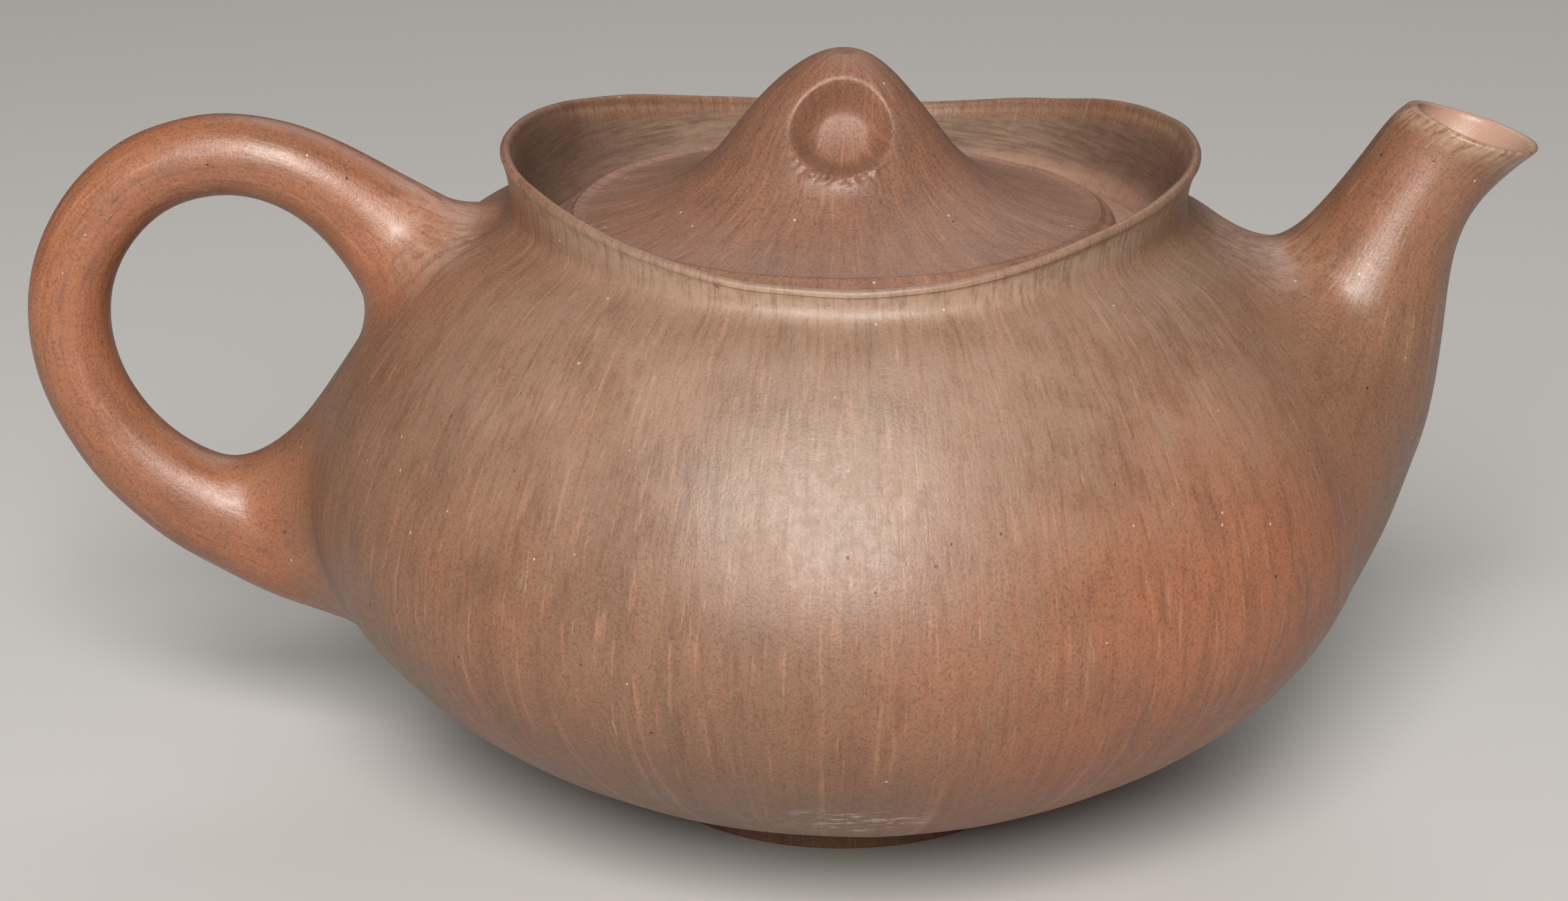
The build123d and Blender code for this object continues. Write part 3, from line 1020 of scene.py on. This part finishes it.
def warmth(g, here, on_pot):
    """How red the clay has fired: redder in a ragged blush low by the spout, and along the handle."""
    warm = g.mix(0.5, 0.6, here.broad)
    if on_pot:
        from_blush = g.length(g.vector("SUBTRACT", here.place, BLUSH_PLACE))
        ragged = g.maths("MULTIPLY_ADD", here.wide_streak, 34.0, g.maths("SUBTRACT", from_blush, 17.0))
        warm = g.maths("MULTIPLY_ADD", here.broad, 0.75, -0.02)
        warm = g.maths("ADD", warm, g.band(ragged, 44.0, 4.0, 0.0, 0.64))
    return g.maths("ADD", warm, g.times(here.own, g.band(here.x, 10.0, -40.0, 0.08, 0.42)))


def clay(name, red, patina, reach, on_pot):
    """A dense unglazed clay, rubbed along its form, with grain, flecks, pits and a soft handled sheen."""
    g = Graph(name)
    here = look_round(g)
    drawn = drawn_noise(g, here, reach)
    here.streak = drawn(0.75, 5.0, 0.66)
    here.wide_streak = drawn(3.6, 4.0, 0.6, 57.0)
    fleck = drawn(0.80, 3.0, 0.55, 83.0, 0.65)
    dash = drawn(0.60, 2.0, 0.5, 131.0, 0.8)

    # Patina over the red clay, worn off in streaks, and darker in clouds, streaks and sand.
    covered = g.maths("MULTIPLY_ADD", here.streak, 0.46, g.times(warmth(g, here, on_pot), -0.52))
    colour = g.blend(g.band(covered, -0.25, 0.14), red, patina)
    shade = g.mix(0.4, here.wide_streak, here.cloud)
    colour = g.blend(g.band(shade, 0.55, 0.36, 0.0, 0.30), colour, DARK)
    colour = g.blend(g.band(here.streak, 0.52, 0.34, 0.0, 0.36), colour, DARK)
    colour = g.blend(g.band(fleck, 0.56, 0.72, 0.0, 0.34), colour, FLECK)
    colour = g.blend(g.band(dash, 0.66, 0.80, 0.0, 0.50), colour, DASH)
    colour = g.blend(g.band(here.sand, 0.52, 0.36, 0.0, 0.40), colour, scaled(DARK, 0.5))
    colour = g.blend(g.band(here.sand, 0.60, 0.76, 0.0, 0.22), colour, SAND)

    # Pale grains and dark pits, in a few cells of a Voronoi pattern.
    cells = g.node("TexVoronoi", {"Vector": here.place, "Scale": 1 / GRAIN_SIZE})
    chance = g.node("SeparateColor", {0: cells.outputs["Color"]}).outputs
    near = g.band(cells.outputs["Distance"], 0.15, 0.08)
    pale = g.times(near, g.band(chance[0], 0.955, 0.965))
    pit = g.times(near, g.band(chance[1], 0.955, 0.965))
    colour = g.blend(g.times(pale, 0.6), colour, PALE_GRAIN)
    colour = g.blend(g.times(pit, 0.85), colour, scaled(DARK, 0.2))
    height = g.maths("MULTIPLY_ADD", here.sand, 0.45, g.times(here.coarse, 0.35))
    height = g.maths("MULTIPLY_ADD", here.streak, 0.6, height)
    height = g.maths("SUBTRACT", height, g.times(pit, 0.8))

    rough = g.mix(g.band(g.mix(0.5, here.cloud, here.coarse), 0.38, 0.62), 0.42, 0.53)
    rough = g.maths("MULTIPLY_ADD", here.own, -0.09, rough)
    # On the pot: wear and slip, painted shade inside the neck, and painted light on the ledge and the
    # upper front.
    if on_pot:
        colour = pot_wear_and_light(g, here, colour)
    bump = g.add("Bump", {"Strength": 0.45, "Distance": 0.00016, "Height": height})
    inputs = {"Base Color": colour, "Roughness": rough, "IOR": 1.55, "Normal": bump}
    g.finish(g.add("BsdfPrincipled", inputs))
    return g.material


# ---------------------------------------------------------------------------- wear and painted light on the pot


def lip_wear(g, here, colour):
    """Pale wear on the outside of the lip."""
    band = g.times(
        g.band(here.below, 4.4, 1.4),
        g.band(here.below, 0.2, 1.1),
        g.band(here.outside_lip, -0.6, 0.2),
        g.band(here.radius, 40.8, 40.0),
        g.band(g.mix(0.5, here.streak, here.coarse), 0.34, 0.60),
        0.50,
    )
    return g.blend(band, colour, LIP_WEAR)


def shaded_neck_inside(g, here, colour):
    """The inside of the neck in rubbed horizontal streaks, darkened by painted shade in the recess and
    most of all at its two ends.
    """
    wipe = g.noise(g.vector("MULTIPLY", here.place, (0.22, 0.22, 2.4)), 1.0, 5.0, 0.65, 7.0)
    wall = g.blend(g.band(wipe, 0.30, 0.66), NECK_DARK_AND_SHADE, NECK_PALE)
    # Painted shade: the inside grows darker towards the neck's two ends.
    wall = g.blend(g.band(here.endways, 0.25, 0.85, 0.0, 0.55), wall, scaled(DARK, 0.75))
    return g.blend(g.times(here.inside, 0.85), colour, wall)


def ledge_clay_and_light(g, here, colour):
    """The ledge under the lid in paler clay, with painted light that makes it palest towards the spout.
    """
    ledge = g.times(
        g.band(here.radius, 34.0, 32.8),
        g.band(here.z, 60.5, 61.5),
        # Painted light: the ledge grows paler towards the spout side.
        g.band(here.x, -5.0, 22.0, 0.15, 0.75),
        g.band(here.coarse, 0.20, 0.55, 0.45, 0.85),
    )
    return g.blend(ledge, colour, LEDGE_PALE_AND_LIT)


def spout_lip(g, here, colour):
    """The spout's rubbed lip and its bare inside."""
    worn = g.add("Attribute", {}, 2, attribute_name="worn")
    grainy = g.times(
        g.band(worn, 0.02, 0.45),
        g.band(worn, 0.85, 0.60),
        g.band(g.mix(0.7, here.coarse, here.streak), 0.36, 0.62),
        0.62,
    )
    colour = g.blend(grainy, colour, SPOUT_LIP_WEAR)
    return g.blend(g.band(worn, 0.62, 0.85, 0.0, 0.85), colour, SPOUT_INSIDE)


def front_wash_and_highlight(g, here, colour):
    """A pale wash of handling on the upper front, partly a painted highlight."""
    # Painted highlight: paler on the upper front, the side that faces the light.
    wash_and_highlight = g.times(
        g.band(here.z, 36.0, 56.0),
        g.band(here.y, -8.0, -34.0),
        g.band(g.mix(0.5, here.cloud, here.streak), 0.34, 0.62, 0.12, 0.38),
        g.maths("SUBTRACT", 1.0, here.inside),
    )
    return g.blend(wash_and_highlight, colour, WASH_AND_HIGHLIGHT)


def notch_slip(g, here, colour):
    """Whitish slip caught in the notches between the neck and the roots of the handle and the spout."""
    notch = g.times(
        g.band(here.endways, 0.86, 0.97),
        g.band(here.z, 54.0, 61.5),
        g.band(here.radius, 52.0, 43.0),
        g.band(here.radius, 38.0, 40.0),
        g.band(g.mix(0.6, here.coarse, here.streak), 0.36, 0.66),
        0.30,
    )
    return g.blend(notch, colour, SLIP)


def front_scuff(g, here, colour):
    """A scuffed patch low on the front, wider than it is high."""
    across = g.maths("SUBTRACT", here.x, SCUFF_X)
    along = g.times(g.maths("SUBTRACT", here.z, SCUFF_Z), 2.6)
    from_scuff = g.length(g.add("CombineXYZ", {0: across, 1: 0.0, 2: along}))
    scratch = g.noise(g.vector("MULTIPLY", here.place, (0.5, 0.5, 2.2)), 1.5, 5.0, 0.7, 3.0)
    scuff = g.times(
        g.band(from_scuff, 10.0, 3.0),
        g.band(scratch, 0.52, 0.64),
        g.band(here.y, -20.0, -30.0),
        0.55,
    )
    return g.blend(scuff, colour, SCUFF)


def pot_wear_and_light(g, here, colour):
    """All the wear and slip on the pot, with its painted shade and painted light, laid over its clay in
    turn.
    """
    # From the direction round the pot: nearness to its two ends, depth below the saddle lip, and how far
    # outside the middle of the lip's thickness this is.
    side = g.maths("DIVIDE", here.x, g.maths("MAXIMUM", here.radius, 1.0))
    here.endways = g.times(side, side)
    here.below = g.maths("SUBTRACT", g.maths("MULTIPLY_ADD", here.endways, LIP_RISE, LIP_LOW), here.z)
    middle = g.maths("MULTIPLY_ADD", here.endways, -LIP_PINCH, LIP_FRONT_RADIUS - 1.0)
    middle = g.maths("MULTIPLY_ADD", side, LIP_SHIFT, middle)
    here.outside_lip = g.maths("SUBTRACT", here.radius, middle)
    here.inside = g.times(
        g.band(here.outside_lip, 0.0, -1.2),
        g.band(here.z, 57.0, 59.0),
        g.band(here.below, -1.6, -0.3),
    )
    for wear in (lip_wear, shaded_neck_inside, ledge_clay_and_light, spout_lip, front_wash_and_highlight, notch_slip, front_scuff):
        colour = wear(g, here, colour)
    return colour


def dress(pieces, material):
    """Gives each piece this one material."""
    for piece in pieces:
        piece.data.materials.clear()
        piece.data.materials.append(material)


pot_clay = clay("pot_clay", RED, PATINA, POT_GRAIN_RADIUS, True)
lid_clay = clay("lid_clay", LID_RED, LID_PATINA, LID_GRAIN_RADIUS, False)
dress(pot_pieces, pot_clay)
dress(lid_pieces, lid_clay)
for node, material, slot in (
    ("base_disc", pot_clay, "pot_clay"),
    ("foot_ring", pot_clay, "pot_clay"),
    ("lid_seat", pot_clay, "pot_clay"),
    ("spout_strainer", pot_clay, "pot_clay"),
    ("lid_flange", lid_clay, "lid_clay"),
):
    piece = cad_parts[node]
    dress([piece], material)


# ---------------------------------------------------------------------------- stage

FLOOR_HALF = 3.0
LIGHT_TARGET = (0, 0, 0.040)
LIGHTS = [
    # name, azimuth, elevation, distance, size, watts, colour
    ("key", -5, 36, 1.10, (0.48, 0.58), 20.6, (1.0, 0.97, 0.94)),
    ("back_fill", 165, 48, 1.10, (0.9, 0.6), 2.8, (1.0, 0.98, 0.96)),
    ("left_fill", -75, 30, 0.9, (0.5, 0.5), 0.3, (1.0, 0.96, 0.92)),
    ("right_fill", 80, 35, 0.9, (0.5, 0.5), 0.1, (0.97, 0.98, 1.0)),
]
ROOM_COLOUR = (0.80, 0.82, 0.86, 1.0)
ROOM_STRENGTH = 0.095
CAMERA_TARGET = (-0.00614, 0.0, 0.0373)
CAMERA_ELEVATION = 19.01
CAMERA_DISTANCE = 0.400
CAMERA_ROLL = 0.4
CAMERA_LENS = 85.27


def make_floor():
    """A plain pale floor."""
    half = FLOOR_HALF
    mesh = bpy.data.meshes.new("floor")
    corner_points = [(-half, -half, 0), (half, -half, 0), (half, half, 0), (-half, half, 0)]
    mesh.from_pydata(corner_points, [], [(0, 1, 2, 3)])
    floor = bpy.data.objects.new("floor", mesh)
    bpy.context.scene.collection.objects.link(floor)
    g = Graph("floor")
    g.finish(g.add("BsdfPrincipled", {"Base Color": (0.50, 0.49, 0.47, 1.0), "Roughness": 0.8}))
    mesh.materials.append(g.material)


def aimed(place, target, roll=0.0):
    """The transform of a camera or light at place that looks at target."""
    forward = (Vector(target) - Vector(place)).normalized()
    right = forward.cross(Vector((0, 0, 1))).normalized()
    up = right.cross(forward)
    across = right * math.cos(roll) + up * math.sin(roll)
    upright = -right * math.sin(roll) + up * math.cos(roll)
    turn = Matrix((across, upright, -forward)).transposed().to_4x4()
    return Matrix.Translation(Vector(place)) @ turn


def seen_from(target, azimuth, elevation, distance):
    """A place seen from target at this azimuth, with 0 in front of the pot, and elevation, in degrees."""
    a, e = math.radians(azimuth), math.radians(elevation)
    way = Vector((math.sin(a) * math.cos(e), -math.cos(a) * math.cos(e), math.sin(e)))
    return Vector(target) + distance * way


def area_light(name, azimuth, elevation, distance, size, watts, colour):
    """A soft rectangular light that looks at the pot."""
    light = bpy.data.lights.new(name, "AREA")
    light.shape = "RECTANGLE"
    light.size, light.size_y = size
    light.energy = watts
    light.color = colour
    lamp = bpy.data.objects.new(name, light)
    bpy.context.scene.collection.objects.link(lamp)
    lamp.matrix_world = aimed(seen_from(LIGHT_TARGET, azimuth, elevation, distance), LIGHT_TARGET)


def make_room():
    """A faint even light from all round."""
    world = bpy.data.worlds.new("room")
    world.use_nodes = True
    background = world.node_tree.nodes["Background"]
    background.inputs[0].default_value = ROOM_COLOUR
    background.inputs[1].default_value = ROOM_STRENGTH
    bpy.context.scene.world = world
    bpy.context.scene.view_settings.view_transform = "Standard"


def make_camera():
    """The camera in front of the pot, looking a little down on it."""
    data = bpy.data.cameras.new("camera")
    data.sensor_width = 36.0
    data.lens = CAMERA_LENS
    data.clip_start = 0.01
    data.clip_end = 20.0
    camera = bpy.data.objects.new("camera", data)
    bpy.context.scene.collection.objects.link(camera)
    place = seen_from(CAMERA_TARGET, 0.0, CAMERA_ELEVATION, CAMERA_DISTANCE)
    camera.matrix_world = aimed(place, CAMERA_TARGET, math.radians(CAMERA_ROLL))
    bpy.context.scene.camera = camera


make_floor()
for light_row in LIGHTS:
    area_light(*light_row)
make_room()
make_camera()
